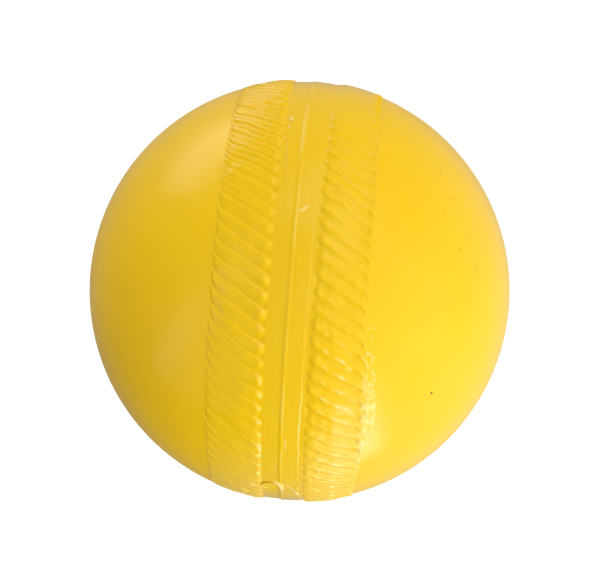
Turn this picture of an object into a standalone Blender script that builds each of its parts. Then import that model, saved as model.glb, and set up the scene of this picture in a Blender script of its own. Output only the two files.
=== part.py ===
"""Plastic cricket ball: two hollow half shells welded at the seam, with moulded stitch bands and a vent plug.

The seam lies in the YZ plane, so its axis is X, and the origin is the ball's centre. The plug faces -Y.
"""

import math

import bmesh
import bpy
from mathutils import Vector

# Half shells
BALL_DIAMETER = 0.0714
WALL = 0.0045
TONGUE_LENGTH = 0.003

# Seam channel: the left strip lies below the ball's surface, and the right strip stands above the left one
CHANNEL_RECESS = 0.00018
STRIP_RISE = 0.0001
WELD_WIDTH = 0.0002

# Stitch bands: edges are measured along the ball's surface from the parting plane
BAND_INNER_EDGE = 0.0032
BAND_OUTER_EDGE = 0.012
BAND_SEAT_DEPTH = 0.0015
RIDGE_COUNT = 88
RIDGE_SLANT = math.radians(32)
RIDGE_HEIGHT = 0.00034
GROOVE_DEPTH = 0.00045

# Shares of the full ridge height and groove depth that are left halfway across a band
RIDGE_WAIST = 0.5
GROOVE_WAIST = 0.25

# Vent plug: a land is what stays of the strip beside the head, and a shoulder is the step under it
PLUG_LAND = 0.0002
PLUG_HEAD_DEPTH = 0.0008
PLUG_CROWN = 0.00015
PLUG_SHOULDER = 0.0005
PLUG_BARB = 0.0004
PLUG_BARB_LENGTH = 0.0015

# Clearances
SEAT_GAP = 0.0003
WELD_GAP = 0.00005
PLUG_GAP = 0.0001

# Facets
SHELL_SEGMENTS = 56
CAP_STEPS = 9
HOLLOW_STEPS = 8
PLUG_SEGMENTS = 20
BAND_ROWS = (0, 0.1, 0.25, 0.5, 0.75, 0.9, 1)
GROOVE_HALF_WIDTH = 0.22
SHARP_ANGLE = math.radians(30)

# Colours are linear
SATIN_YELLOW = (0.90, 0.58, 0.025, 1)
GLOSSY_YELLOW = (0.87, 0.56, 0.018, 1)
SATIN_ROUGHNESS = 0.45
GLOSSY_ROUGHNESS = 0.2

BALL_RADIUS = BALL_DIAMETER / 2
HOLLOW_RADIUS = BALL_RADIUS - WALL
SEAT_RADIUS = BALL_RADIUS - BAND_SEAT_DEPTH
LEFT_STRIP_RADIUS = BALL_RADIUS - CHANNEL_RECESS
RIGHT_STRIP_RADIUS = LEFT_STRIP_RADIUS + STRIP_RISE
TONGUE_RADIUS = (HOLLOW_RADIUS + SEAT_RADIUS - SEAT_GAP) / 2
SOCKET_RADIUS = TONGUE_RADIUS + SEAT_GAP
PARTING_FACE = WELD_WIDTH / 2 + WELD_GAP
LEFT = -1
RIGHT = 1


def clear_scene():
    for obj in list(bpy.data.objects):
        bpy.data.objects.remove(obj, do_unlink=True)


def plastic(name, colour, roughness):
    material = bpy.data.materials.new(name)
    material.use_nodes = True
    shader = material.node_tree.nodes["Principled BSDF"]
    shader.inputs["Base Color"].default_value = colour
    shader.inputs["Roughness"].default_value = roughness
    shader.inputs["Metallic"].default_value = 0
    return material


def add_object(name, shape, material=None):
    """Turns a bmesh into an object with its faces pointing out."""
    bmesh.ops.recalc_face_normals(shape, faces=shape.faces)
    mesh = bpy.data.meshes.new(name)
    shape.to_mesh(mesh)
    shape.free()
    mesh.shade_smooth()
    mesh.set_sharp_from_angle(angle=SHARP_ANGLE)
    if material:
        mesh.materials.append(material)
    obj = bpy.data.objects.new(name, mesh)
    bpy.context.scene.collection.objects.link(obj)
    return obj


def turned(profile, axis, segments, closed):
    """Spins a profile of (along, radius) points about an axis through the origin."""
    shape = bmesh.new()
    across = axis.orthogonal().normalized()
    points = [shape.verts.new(axis * along + across * radius) for along, radius in profile]
    loop = points + points[:1] if closed else points
    edges = [shape.edges.new(pair) for pair in zip(loop, loop[1:])]
    bmesh.ops.spin(
        shape, geom=points + edges, cent=(0, 0, 0), axis=axis, angle=math.tau, steps=segments, use_merge=True
    )
    bmesh.ops.remove_doubles(shape, verts=shape.verts, dist=1e-7)
    return shape


def on_sphere(radius, angle):
    """The (along, radius) point of a sphere at this angle from the parting plane."""
    return radius * math.sin(angle), radius * math.cos(angle)


def arc(radius, first, last, steps):
    return [on_sphere(radius, first + (last - first) * step / steps) for step in range(steps + 1)]


def at_face(radius, along):
    """The point of a sphere at this distance from the parting plane."""
    return along, math.sqrt(radius**2 - along**2)


def outer_profile(strip_radius):
    """From the pole over the cap and down into the band's conical seat, then over the channel strip."""
    seat_outer = BAND_OUTER_EDGE / BALL_RADIUS
    seat_inner = BAND_INNER_EDGE / BALL_RADIUS
    cap = arc(BALL_RADIUS, math.pi / 2, seat_outer, CAP_STEPS)
    seat = [on_sphere(SEAT_RADIUS, seat_outer), on_sphere(SEAT_RADIUS, seat_inner)]
    strip = [on_sphere(strip_radius, seat_inner), at_face(strip_radius, PARTING_FACE)]
    return [(BALL_RADIUS, 0)] + cap[1:] + seat + strip


def tongue_profile():
    """From the left parting face over the tongue, which reaches past it into the other half, to the hollow."""
    tip = -TONGUE_LENGTH
    tongue = [(PARTING_FACE, TONGUE_RADIUS), (tip, TONGUE_RADIUS), (tip, HOLLOW_RADIUS)]
    return tongue + arc(HOLLOW_RADIUS, 0, math.pi / 2, HOLLOW_STEPS)[:-1] + [(HOLLOW_RADIUS, 0)]


def socket_profile():
    """From the right parting face along the socket that takes the tongue, to the hollow."""
    bottom = TONGUE_LENGTH + SEAT_GAP
    socket = [(PARTING_FACE, SOCKET_RADIUS), (bottom, SOCKET_RADIUS)]
    hollow = arc(HOLLOW_RADIUS, math.asin(bottom / HOLLOW_RADIUS), math.pi / 2, HOLLOW_STEPS)
    return socket + hollow[:-1] + [(HOLLOW_RADIUS, 0)]


def half_shell(name, side, profile, material):
    shape = turned(profile, Vector((side, 0, 0)), SHELL_SEGMENTS, closed=False)
    return add_object(name, shape, material)


def weld_bead(material):
    half = WELD_WIDTH / 2
    top = at_face(RIGHT_STRIP_RADIUS, half)[1]
    profile = [(-half, SOCKET_RADIUS), (half, SOCKET_RADIUS), (half, top), (-half, top)]
    return add_object("weld_bead", turned(profile, Vector((1, 0, 0)), SHELL_SEGMENTS, closed=True), material)


def two_rows(share):
    """Two humps across the band, one for each row of stitches."""
    return math.sin(math.tau * share) ** 2


def ridge_heights(share):
    """Heights above the ball of a ridge's crest and of the groove beside it, at this share across the band."""
    middle = math.sin(math.pi * share)
    crest = RIDGE_HEIGHT * max(two_rows(share), RIDGE_WAIST * middle)
    return crest, crest - GROOVE_DEPTH * max(two_rows(share), GROOVE_WAIST * middle)


def stitch_band(name, side, material):
    """A closed ring whose rows run round the ball, and whose columns follow the ridges across the band."""
    inner = BAND_INNER_EDGE + SEAT_GAP
    outer = BAND_OUTER_EDGE - SEAT_GAP
    rows = [(inner + (outer - inner) * share, *ridge_heights(share)) for share in BAND_ROWS]
    underside = SEAT_RADIUS + SEAT_GAP - BALL_RADIUS
    rows += [(outer, underside, underside), (inner, underside, underside)]
    pitch = math.tau / RIDGE_COUNT
    turn_per_metre = math.tan(RIDGE_SLANT) / BALL_RADIUS
    shape = bmesh.new()
    rings = []
    for edge, crest, groove in rows:
        lean = -side * edge * turn_per_metre
        columns = ((0, groove), (GROOVE_HALF_WIDTH, crest), (1 - GROOVE_HALF_WIDTH, crest))
        ring = []
        for ridge in range(RIDGE_COUNT):
            for share, height in columns:
                along, radius = on_sphere(BALL_RADIUS + height, edge / BALL_RADIUS)
                turn = (ridge + share) * pitch + lean
                ring.append(shape.verts.new((side * along, -radius * math.cos(turn), radius * math.sin(turn))))
        rings.append(ring)
    for ring, next_ring in zip(rings, rings[1:] + rings[:1]):
        for column, vert in enumerate(ring):
            before = column - 1
            shape.faces.new((ring[before], vert, next_ring[column], next_ring[before]))
    return add_object(name, shape, material)


def plug_sizes():
    """Place along X, outer level and hole depth of the plug, and its head and stem radii."""
    strip_width = BAND_INNER_EDGE - PARTING_FACE
    along = PARTING_FACE + strip_width / 2
    level = at_face(LEFT_STRIP_RADIUS, along)[1]
    depth = level - at_face(HOLLOW_RADIUS, along)[1]
    head = strip_width / 2 - PLUG_LAND - PLUG_GAP
    return -along, level, depth, head, head - PLUG_SHOULDER


def vent_plug(material):
    """A domed head in a counterbore, with a stem through the wall and a barb inside the hollow."""
    along, level, depth, head, stem = plug_sizes()
    under_head = -PLUG_HEAD_DEPTH + PLUG_GAP
    barb_face = -depth - SEAT_GAP
    tip = barb_face - PLUG_BARB_LENGTH
    profile = [(PLUG_CROWN, 0), (PLUG_CROWN, head / 2), (0, head), (under_head, head), (under_head, stem)]
    profile += [(barb_face, stem), (barb_face, stem + PLUG_BARB), (tip, stem), (tip, 0)]
    plug = add_object("vent_plug", turned(profile, Vector((0, -1, 0)), PLUG_SEGMENTS, closed=False), material)
    plug.location = (along, -level, 0)
    return plug


def drill_vent(shell):
    """Cuts the plug's stepped hole, with the plug's clearance all round."""
    along, level, depth, head, stem = plug_sizes()
    bore = stem + PLUG_GAP
    mouth = head + PLUG_GAP
    profile = [(WALL, 0), (WALL, mouth), (-PLUG_HEAD_DEPTH, mouth), (-PLUG_HEAD_DEPTH, bore)]
    profile += [(-depth - WALL, bore), (-depth - WALL, 0)]
    cutter = add_object("vent_cutter", turned(profile, Vector((0, -1, 0)), PLUG_SEGMENTS, closed=False))
    cutter.location = (along, -level, 0)
    cutter.hide_render = True
    cutter.display_type = "WIRE"
    cut = shell.modifiers.new("vent hole", "BOOLEAN")
    cut.operation = "DIFFERENCE"
    cut.solver = "EXACT"
    cut.object = cutter
    return cutter


def main():
    clear_scene()
    ball = bpy.data.objects.new("plastic_cricket_ball", None)
    bpy.context.scene.collection.objects.link(ball)
    left_satin = plastic("left satin yellow", SATIN_YELLOW, SATIN_ROUGHNESS)
    right_satin = plastic("right satin yellow", SATIN_YELLOW, SATIN_ROUGHNESS)
    left_gloss = plastic("left glossy yellow", GLOSSY_YELLOW, GLOSSY_ROUGHNESS)
    right_gloss = plastic("right glossy yellow", GLOSSY_YELLOW, GLOSSY_ROUGHNESS)
    left_shell = half_shell("left_half_shell", LEFT, outer_profile(LEFT_STRIP_RADIUS) + tongue_profile(), left_satin)
    pieces = [
        left_shell,
        drill_vent(left_shell),
        half_shell("right_half_shell", RIGHT, outer_profile(RIGHT_STRIP_RADIUS) + socket_profile(), right_satin),
        stitch_band("left_stitch_band", LEFT, left_gloss),
        stitch_band("right_stitch_band", RIGHT, right_gloss),
        weld_bead(plastic("weld yellow", GLOSSY_YELLOW, GLOSSY_ROUGHNESS)),
        vent_plug(plastic("plug yellow", GLOSSY_YELLOW, GLOSSY_ROUGHNESS)),
    ]
    for piece in pieces:
        piece.parent = ball


main()
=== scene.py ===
# %% [markdown]
# A plastic cricket ball
# This lesson dresses a moulded cricket ball: two satin half shells, a smooth channel along the seam,
# and a glossy band of slanted stitches on each side of it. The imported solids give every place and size,
# and each cell adds one piece or one finish.

# %% Load the frame
import math

import bmesh
import bpy
from mathutils import Matrix, Vector, noise


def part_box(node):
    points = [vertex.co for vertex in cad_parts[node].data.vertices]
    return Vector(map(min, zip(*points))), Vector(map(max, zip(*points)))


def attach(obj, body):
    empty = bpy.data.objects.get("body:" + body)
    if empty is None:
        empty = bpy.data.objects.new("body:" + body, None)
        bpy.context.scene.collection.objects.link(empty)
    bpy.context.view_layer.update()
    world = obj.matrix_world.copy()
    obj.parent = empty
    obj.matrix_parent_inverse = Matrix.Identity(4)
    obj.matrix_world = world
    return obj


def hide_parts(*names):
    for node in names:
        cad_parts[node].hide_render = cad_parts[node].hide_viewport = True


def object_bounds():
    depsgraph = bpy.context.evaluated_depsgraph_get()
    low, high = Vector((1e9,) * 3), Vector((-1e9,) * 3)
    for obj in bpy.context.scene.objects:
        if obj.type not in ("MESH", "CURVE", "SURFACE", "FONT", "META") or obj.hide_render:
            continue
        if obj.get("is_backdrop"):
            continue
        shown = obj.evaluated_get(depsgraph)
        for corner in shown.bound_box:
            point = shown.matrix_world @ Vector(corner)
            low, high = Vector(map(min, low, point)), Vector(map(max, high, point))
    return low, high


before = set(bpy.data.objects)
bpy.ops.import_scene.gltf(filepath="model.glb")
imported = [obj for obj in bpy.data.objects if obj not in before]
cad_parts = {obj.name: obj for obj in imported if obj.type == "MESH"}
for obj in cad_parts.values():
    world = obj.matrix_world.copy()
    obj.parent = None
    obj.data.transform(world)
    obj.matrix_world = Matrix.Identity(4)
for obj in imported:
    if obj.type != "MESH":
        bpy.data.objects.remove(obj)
cad_low, cad_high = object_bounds()
BALL_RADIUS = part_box("right_half_shell")[1].x
MM = 0.001
LEFT = -1
RIGHT = 1
cad_size = [round(length / MM, 2) for length in cad_high - cad_low]
print(f"ball radius {BALL_RADIUS / MM:.2f} mm, CAD box {cad_size} mm")

# %% [markdown]
# The camera
# The outline in the photograph is a circle, so its centre and radius in pixels give the aim and the lens.
# The bands look wider across the middle than at the outline, which only happens close up: a camera about
# six ball radii away fits both widths. The seam leans to the right at the top, and its nearest point lies
# a little to the left of the centre, which gives the roll and the sideways swing. A ball seen from above
# has the same outline as one seen from the side, so the height is free: the plug faces straight forward.

# %% Camera from the photograph's circle
FRAME_WIDTH_PX = 600
FRAME_HEIGHT_PX = 580
CIRCLE_CENTRE_PX = (299.6, 290.6)
CIRCLE_RADIUS_PX = 210.1
CAMERA_DISTANCE = 6.3 * BALL_RADIUS
CAMERA_ELEVATION = math.radians(62)
SEAM_SWING = math.radians(2.5)
SEAM_ROLL = math.radians(4.4)
SENSOR_WIDTH_MM = 36
CLIP_START = 10 * MM

seam_axis = Vector((1, 0, 0))
seam_front = Vector((0, -math.cos(CAMERA_ELEVATION), math.sin(CAMERA_ELEVATION)))
seam_down = seam_axis.cross(seam_front)
VIEW_BACK = math.sin(SEAM_SWING) * seam_axis + math.cos(SEAM_SWING) * seam_front
level_right = math.cos(SEAM_SWING) * seam_axis - math.sin(SEAM_SWING) * seam_front
VIEW_RIGHT = math.cos(SEAM_ROLL) * level_right - math.sin(SEAM_ROLL) * seam_down
VIEW_DOWN = math.sin(SEAM_ROLL) * level_right + math.cos(SEAM_ROLL) * seam_down

focal_px = CIRCLE_RADIUS_PX * math.sqrt((CAMERA_DISTANCE / BALL_RADIUS) ** 2 - 1)
camera_data = bpy.data.cameras.new("camera")
camera_data.sensor_width = SENSOR_WIDTH_MM
camera_data.lens = focal_px / FRAME_WIDTH_PX * SENSOR_WIDTH_MM
camera_data.shift_x = (FRAME_WIDTH_PX / 2 - CIRCLE_CENTRE_PX[0]) / FRAME_WIDTH_PX
camera_data.shift_y = (CIRCLE_CENTRE_PX[1] - FRAME_HEIGHT_PX / 2) / FRAME_WIDTH_PX
camera_data.clip_start = CLIP_START
camera = bpy.data.objects.new("camera", camera_data)
bpy.context.scene.collection.objects.link(camera)
camera_turn = Matrix((VIEW_RIGHT, -VIEW_DOWN, VIEW_BACK)).transposed().to_4x4()
camera.matrix_world = Matrix.Translation(VIEW_BACK * CAMERA_DISTANCE) @ camera_turn
bpy.context.scene.camera = camera
print(f"lens {camera_data.lens:.1f} mm at {CAMERA_DISTANCE / MM:.0f} mm")

# %% [markdown]
# From the picture to the ball
# Lamps are placed by directions in the picture, and small marks by the pixel where they show. A pixel
# gives a line of sight, and a line meets a ball where a quadratic equation says, so no ray cast is needed.

# %% Directions and pixels


def toward(right, down, back):
    """A direction given in the photograph's own frame: right, down, and back to the camera."""
    return (VIEW_RIGHT * right + VIEW_DOWN * down + VIEW_BACK * back).normalized()


def under_pixel(x, y):
    """The point of the ball that shows at this pixel of the photograph."""
    across = (x - CIRCLE_CENTRE_PX[0]) / focal_px
    fall = (y - CIRCLE_CENTRE_PX[1]) / focal_px
    ray = VIEW_RIGHT * across + VIEW_DOWN * fall - VIEW_BACK
    start = VIEW_BACK * CAMERA_DISTANCE
    half = ray.dot(start)
    inside = half**2 - ray.length_squared * (start.length_squared - BALL_RADIUS**2)
    return start + ray * ((-half - math.sqrt(inside)) / ray.length_squared)


nearest = under_pixel(*CIRCLE_CENTRE_PX)
print(f"the picture's centre shows the point {[round(place / MM, 1) for place in nearest]} mm")

# %% [markdown]
# The floor
# The ball stands on a white light table. It glows, so the ground around the ball stays white. Only the
# camera sees it: the photographed ball mirrors a dim room, and a white table would bleach its rim.

# %% Floor
FLOOR_SIZE = 3.0
FLOOR_DROP = 0.15 * MM
FLOOR_GLOW = 0.75
FLOOR_GREY = (0.5, 0.5, 0.5, 1)
FLOOR_ROUGHNESS = 0.8
WHITE = (1, 1, 1, 1)

bpy.context.scene.view_settings.view_transform = "Standard"
bpy.ops.mesh.primitive_plane_add(size=FLOOR_SIZE, location=(0, 0, cad_low.z - FLOOR_DROP))
floor = bpy.context.object
floor.name = "floor"
floor.visible_diffuse = False
floor.visible_glossy = False
floor.visible_shadow = False
floor_material = bpy.data.materials.new("white table")
floor_material.use_nodes = True
floor_shader = floor_material.node_tree.nodes["Principled BSDF"]
floor_shader.inputs["Base Color"].default_value = FLOOR_GREY
floor_shader.inputs["Roughness"].default_value = FLOOR_ROUGHNESS
floor_shader.inputs["Emission Color"].default_value = WHITE
floor_shader.inputs["Emission Strength"].default_value = FLOOR_GLOW
floor.data.materials.append(floor_material)
floor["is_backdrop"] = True
print(f"floor at {(cad_low.z - FLOOR_DROP) / MM:.2f} mm")

# %% [markdown]
# The lamps
# The caps are smooth, so their shading tells where the light came from. A wide window on the right gives
# most of it. Two soft boxes behind on the upper left put the broad sheen on the left cap, and a tall thin
# panel gives its faint streak. Weak lamps and panels round the camera fill the front. Two lamps at the
# lower right shine up through the table, slightly blue, because the highlight there is cooler.
# Each row holds a name, the degrees right of the camera and above it as seen from the ball, the lamp's
# width and height in metres, its power in watts, and a tint where it isn't white.

# %% Lamps
LAMP_DISTANCE = 0.5
LAMPS = (
    ("right window", 43, -3, 0.6, 0.75, 0.95),
    ("low right panel", 78, -42, 0.5, 0.45, 0.34, (0.4, 0.55, 1.0)),
    ("left lamp", -40, -12, 0.7, 0.7, 0.28),
    ("top lamp", 22, 45, 0.35, 0.35, 0.5),
    ("soft box", -95, 56.5, 0.32, 0.22, 0.54),
    ("back soft box", -124, 58, 0.3, 0.2, 0.1),
    ("left panel", -58, -12, 0.1, 0.7, 0.24),
    ("low left panel", -60, -35, 0.4, 0.4, 0.24),
    ("front panel", 0, 0, 0.9, 0.9, 0.23),
    ("table lamp", 70, -65, 0.14, 0.42, 1.22, (0.82, 0.87, 1.0)),
)


def lamp(name, right_of_camera, above_camera, width, height, power, tint=(1.0, 1.0, 1.0)):
    """A soft rectangular lamp that faces the ball from a direction seen from it."""
    turn = math.radians(right_of_camera)
    rise = math.radians(above_camera)
    data = bpy.data.lights.new(name, "AREA")
    data.shape = "RECTANGLE"
    data.size = width
    data.size_y = height
    data.energy = power
    data.color = tint
    light = bpy.data.objects.new(name, data)
    bpy.context.scene.collection.objects.link(light)
    away = toward(math.cos(rise) * math.sin(turn), -math.sin(rise), math.cos(rise) * math.cos(turn))
    light.location = away * LAMP_DISTANCE
    light.rotation_euler = away.to_track_quat("Z", "Y").to_euler()
    light.visible_camera = False


for row in LAMPS:
    lamp(*row)
print(f"{len(LAMPS)} lamps, {LAMP_DISTANCE} m from the ball")

# %% [markdown]
# A small language for shaders
# A finish is a sum of masks and noises, which reads best as arithmetic. This class wraps one output
# socket, so that a * b adds a Math node, and one function makes every other node from its type, its
# settings and its inputs.

# %% Sockets as numbers


class Sock:
    """One output socket of a node tree, with arithmetic that adds Math nodes."""

    def __init__(self, tree, socket):
        self.tree = tree
        self.socket = socket

    def math(self, operation, *values):
        return add_node(self.tree, "ShaderNodeMath", {"operation": operation}, dict(enumerate(values)))

    def __add__(self, other):
        return self.math("ADD", self, other)

    def __radd__(self, other):
        return self.math("ADD", other, self)

    def __sub__(self, other):
        return self.math("SUBTRACT", self, other)

    def __rsub__(self, other):
        return self.math("SUBTRACT", other, self)

    def __mul__(self, other):
        return self.math("MULTIPLY", self, other)

    def __rmul__(self, other):
        return self.math("MULTIPLY", other, self)


def add_node(tree, kind, settings=None, inputs=None, output=0):
    """Adds a node, sets its settings first, then its inputs by name or number, and returns an output."""
    node = tree.nodes.new(kind)
    for name, value in (settings or {}).items():
        setattr(node, name, value)
    for name, value in (inputs or {}).items():
        if isinstance(value, Sock):
            tree.links.new(value.socket, node.inputs[name])
        else:
            node.inputs[name].default_value = value
    return Sock(tree, node.outputs[output])


print("sockets can be added, subtracted and multiplied")

# %% [markdown]
# The room
# The room lights the ball from all sides, but not evenly: the ceiling gives more than the ground, and the
# side with the window more than the other. A picture of a room could light it too, but the shading only
# shows soft ramps, and a dot product between a ray and a direction gives such a ramp. The window's ramp
# stops at zero, so the side away from it stays even.

# %% Room light
ROOM_LIGHT = 0.3
CEILING_LIGHT = 0.235
WINDOW_SIDE_LIGHT = 0.79
WINDOW_WAY = (0.85, 0.5, 0)
CEILING_WAY = (0, -1, 0)

world = bpy.data.worlds.new("room")
world.use_nodes = True
bpy.context.scene.world = world
ray = add_node(world.node_tree, "ShaderNodeTexCoord", output="Generated")


def facing(direction):
    """How directly a ray of the room's light comes from this direction, from -1 to 1."""
    settings = {"operation": "DOT_PRODUCT"}
    inputs = {0: ray, 1: direction}
    return add_node(world.node_tree, "ShaderNodeVectorMath", settings, inputs, output="Value")


to_window = facing(toward(*WINDOW_WAY))
window_side = to_window.math("MAXIMUM", to_window, 0.0)
room = ROOM_LIGHT + CEILING_LIGHT * facing(toward(*CEILING_WAY)) + WINDOW_SIDE_LIGHT * window_side
background = world.node_tree.nodes["Background"]
world.node_tree.links.new(room.socket, background.inputs["Strength"])
background.inputs["Color"].default_value = WHITE
print(f"room light {ROOM_LIGHT}, rising by {WINDOW_SIDE_LIGHT} at the window")

# %% [markdown]
# The yellow plastic
# The whole ball is moulded in one yellow, but the mould was blasted to a satin on the caps and polished in
# the channel and on the stitches. A flat colour would look painted, so a slow noise mixes two close
# yellows. One function sets what all finishes share, and short helpers for noise, blends and ramps keep
# each finish readable. A noise is given by the size of its features in mm and its detail.

# %% Yellow plastic
YELLOW = (0.95, 0.59, 0.004, 1)
DEEP_YELLOW = (0.9, 0.545, 0.002, 1)
PLASTIC_IOR = 1.42
SATIN_MIRROR = 0.3
SATIN = 0.25
POLISH = 0.15
ROUGHNESS_SPREAD = 0.1
MOTTLE = (11.0, 3.0)


def noise_of(tree, place, size_mm, detail):
    """Noise with features of about this size, from 0 to 1 around a middle of 0.5."""
    inputs = {"Vector": place, "Scale": 1 / (size_mm * MM), "Detail": detail}
    return add_node(tree, "ShaderNodeTexNoise", None, inputs)


def blend_of(tree, share, first, second):
    """The first colour where the share is 0, and the second where it is 1."""
    inputs = {0: share, 6: first, 7: second}
    return add_node(tree, "ShaderNodeMix", {"data_type": "RGBA"}, inputs, output=2)


def ramp_of(tree, value, low, high, at_low, at_high):
    """A smooth step from at_low to at_high while value goes from low to high."""
    inputs = {"Value": value, "From Min": low, "From Max": high, "To Min": at_low, "To Max": at_high}
    return add_node(tree, "ShaderNodeMapRange", {"interpolation_type": "SMOOTHSTEP"}, inputs)


def yellow_plastic(name):
    """A material with the plastic's constants. Returns it with its tree, shader, place and colour."""
    material = bpy.data.materials.new(name)
    material.use_nodes = True
    tree = material.node_tree
    shader = tree.nodes["Principled BSDF"]
    shader.inputs["IOR"].default_value = PLASTIC_IOR
    shader.inputs["Specular IOR Level"].default_value = SATIN_MIRROR
    place = add_node(tree, "ShaderNodeTexCoord", output="Object")
    colour = blend_of(tree, noise_of(tree, place, *MOTTLE), DEEP_YELLOW, YELLOW)
    return material, tree, shader, place, colour


def dress(tree, shader, colour, roughness, height):
    """Links the finish. The height is in metres, so the bump distance is one."""
    inputs = {"Strength": 1.0, "Distance": 1.0, "Height": height}
    bump = add_node(tree, "ShaderNodeBump", None, inputs, output="Normal")
    tree.links.new(colour.socket, shader.inputs["Base Color"])
    tree.links.new(roughness.socket, shader.inputs["Roughness"])
    tree.links.new(bump.socket, shader.inputs["Normal"])


print(f"yellow plastic with roughness {SATIN} for satin and {POLISH} for polish")

# %% [markdown]
# The shells' finish
# A cap is satin: a fine grain in the bump and an uneven roughness. The channel is polished and a little
# deeper in colour, with fine scratches along it, made by a noise that is squeezed along the seam's axis and
# stretched round the ball. The right cap holds a dozen dark specks, as cheap moulded plastic does. Each is
# placed by the pixel where it shows, and drawn where the distance to that point of the ball is small.

# %% Shell finish with specks
CHANNEL_YELLOW = (0.875, 0.542, 0.008, 1)
CHANNEL_FADE = (5 * MM, 7 * MM)
SCRATCH = (3.0, 2.0)
SCRATCH_SQUEEZE = (12.0, 0.5, 0.5)
SCRATCH_HEIGHT = 0.025 * MM
GRAIN = (0.35, 2.0)
GRAIN_HEIGHT = 0.0035 * MM
SATIN_UNEVEN = (6.0, 4.0)
SPECK_BROWN = (0.05, 0.03, 0.015, 1)
SPECK_FADE = (0.35, 0.65)
SPECKS_PX = (
    (431.5, 393.0, 0.42), (476.7, 266.4, 0.26), (460.2, 249.1, 0.24), (466.7, 236.8, 0.2),
    (445.8, 215.7, 0.2), (453.0, 199.0, 0.22), (441.0, 172.9, 0.22), (438.4, 152.7, 0.2),
    (378.0, 160.6, 0.16), (454.0, 231.0, 0.14), (480.8, 186.6, 0.34), (487.0, 197.8, 0.34),
)


def speckled(tree, place, colour, x, y, width_mm):
    """The colour with one dark speck at this pixel of the photograph."""
    inputs = {0: place, 1: under_pixel(x, y)}
    away = add_node(tree, "ShaderNodeVectorMath", {"operation": "DISTANCE"}, inputs, output="Value")
    core, rim = (share * width_mm * MM for share in SPECK_FADE)
    return blend_of(tree, ramp_of(tree, away, core, rim, 1.0, 0.0), colour, SPECK_BROWN)


def shell_finish(name, specks):
    """Satin on the cap and polish in the channel. Specks are (pixel x, pixel y, width in mm)."""
    material, tree, shader, place, colour = yellow_plastic(name)
    for speck in specks:
        colour = speckled(tree, place, colour, *speck)
    along = add_node(tree, "ShaderNodeSeparateXYZ", None, {0: place}, output="X")
    channel = ramp_of(tree, along.math("ABSOLUTE", along), *CHANNEL_FADE, 1.0, 0.0)
    inputs = {0: place, 1: SCRATCH_SQUEEZE}
    squeezed = add_node(tree, "ShaderNodeVectorMath", {"operation": "MULTIPLY"}, inputs)
    scratch = noise_of(tree, squeezed, *SCRATCH)
    grain = noise_of(tree, place, *GRAIN)
    uneven = noise_of(tree, place, *SATIN_UNEVEN)
    roughness = SATIN + ROUGHNESS_SPREAD * (uneven - 0.5) + channel * (POLISH - SATIN)
    height = grain * GRAIN_HEIGHT + channel * scratch * SCRATCH_HEIGHT
    dress(tree, shader, blend_of(tree, channel, colour, CHANNEL_YELLOW), roughness, height)
    return material


left_finish = shell_finish("left_shell_finish", ())
right_finish = shell_finish("right_shell_finish", SPECKS_PX)
print(f"{len(SPECKS_PX)} specks on the right cap")

# %% [markdown]
# Places on the ball
# Three measures describe every place: its distance from the seam along the ball, which the code calls its
# edge, its turn about the seam's axis, and its height. The turn is 0 at the front and a quarter circle at
# the top. Wear comes and goes along the turn, so two functions fade it smoothly in and out, and the fades
# end before the turn jumps at the back of the ball.

# %% Places and fades
FOOT_TURN = (-1.5, -0.7)


def on_ball(radius, edge):
    """The (along, radius) point of a sphere at this distance from the seam, measured along the ball."""
    return radius * math.sin(edge / BALL_RADIUS), radius * math.cos(edge / BALL_RADIUS)


def sweep(radius, first, last, steps):
    """Points of a sphere from one distance to another."""
    return [on_ball(radius, first + (last - first) * step / steps) for step in range(steps + 1)]


def turn_of(point):
    """The turn of a point about the seam's axis."""
    return math.atan2(point.z, -point.y)


def smooth_step(low, high, value):
    """0 up to low, 1 from high on, and a smooth climb between."""
    share = min(max((value - low) / (high - low), 0), 1)
    return share * share * (3 - 2 * share)


def within(value, limits):
    """1 between the two middle limits, falling smoothly to 0 at the two outer ones."""
    return smooth_step(*limits[:2], value) * (1 - smooth_step(*limits[2:], value))


def low_down(turn, limits):
    """1 at the front foot of the ball, falling to 0 between two limits above it, and under the ball."""
    return (1 - smooth_step(*limits, turn)) * smooth_step(*FOOT_TURN, turn)


print(f"the ball is {math.tau * BALL_RADIUS / MM:.0f} mm round")

# %% [markdown]
# Turning a profile
# The shells, the weld and the plug are round, so each is one profile spun about an axis by bmesh. Spin can
# leave doubles on the axis and turn a shape inside out, so doubles are merged and normals recalculated.

# %% Turned pieces
TURN_STEPS = 360
MERGE_DISTANCE = 1e-7
CORNER_ANGLE = math.radians(35)


def turned(name, profile, axis, steps, closed, material):
    """Spins (along, radius) points about an axis through the origin into a smooth, closed piece."""
    shape = bmesh.new()
    across = axis.orthogonal().normalized()
    points = [shape.verts.new(axis * along + across * radius) for along, radius in profile]
    loop = points + points[:1] if closed else points
    line = points + [shape.edges.new(pair) for pair in zip(loop, loop[1:])]
    bmesh.ops.spin(shape, geom=line, cent=(0, 0, 0), axis=axis, angle=math.tau, steps=steps, use_merge=True)
    bmesh.ops.remove_doubles(shape, verts=shape.verts, dist=MERGE_DISTANCE)
    bmesh.ops.recalc_face_normals(shape, faces=shape.faces)
    mesh = bpy.data.meshes.new(name)
    shape.to_mesh(mesh)
    shape.free()
    mesh.shade_smooth()
    mesh.set_sharp_from_angle(angle=CORNER_ANGLE)
    mesh.materials.append(material)
    piece = bpy.data.objects.new(name, mesh)
    bpy.context.scene.collection.objects.link(piece)
    return piece


def stands_for(piece, node):
    """Parents the piece to the root body and hides the solid it dresses."""
    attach(piece, "root")
    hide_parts(node)
    print(f"{piece.name}: {len(piece.data.polygons)} faces for {node}")


print(f"profiles turn in {TURN_STEPS} steps")

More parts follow.
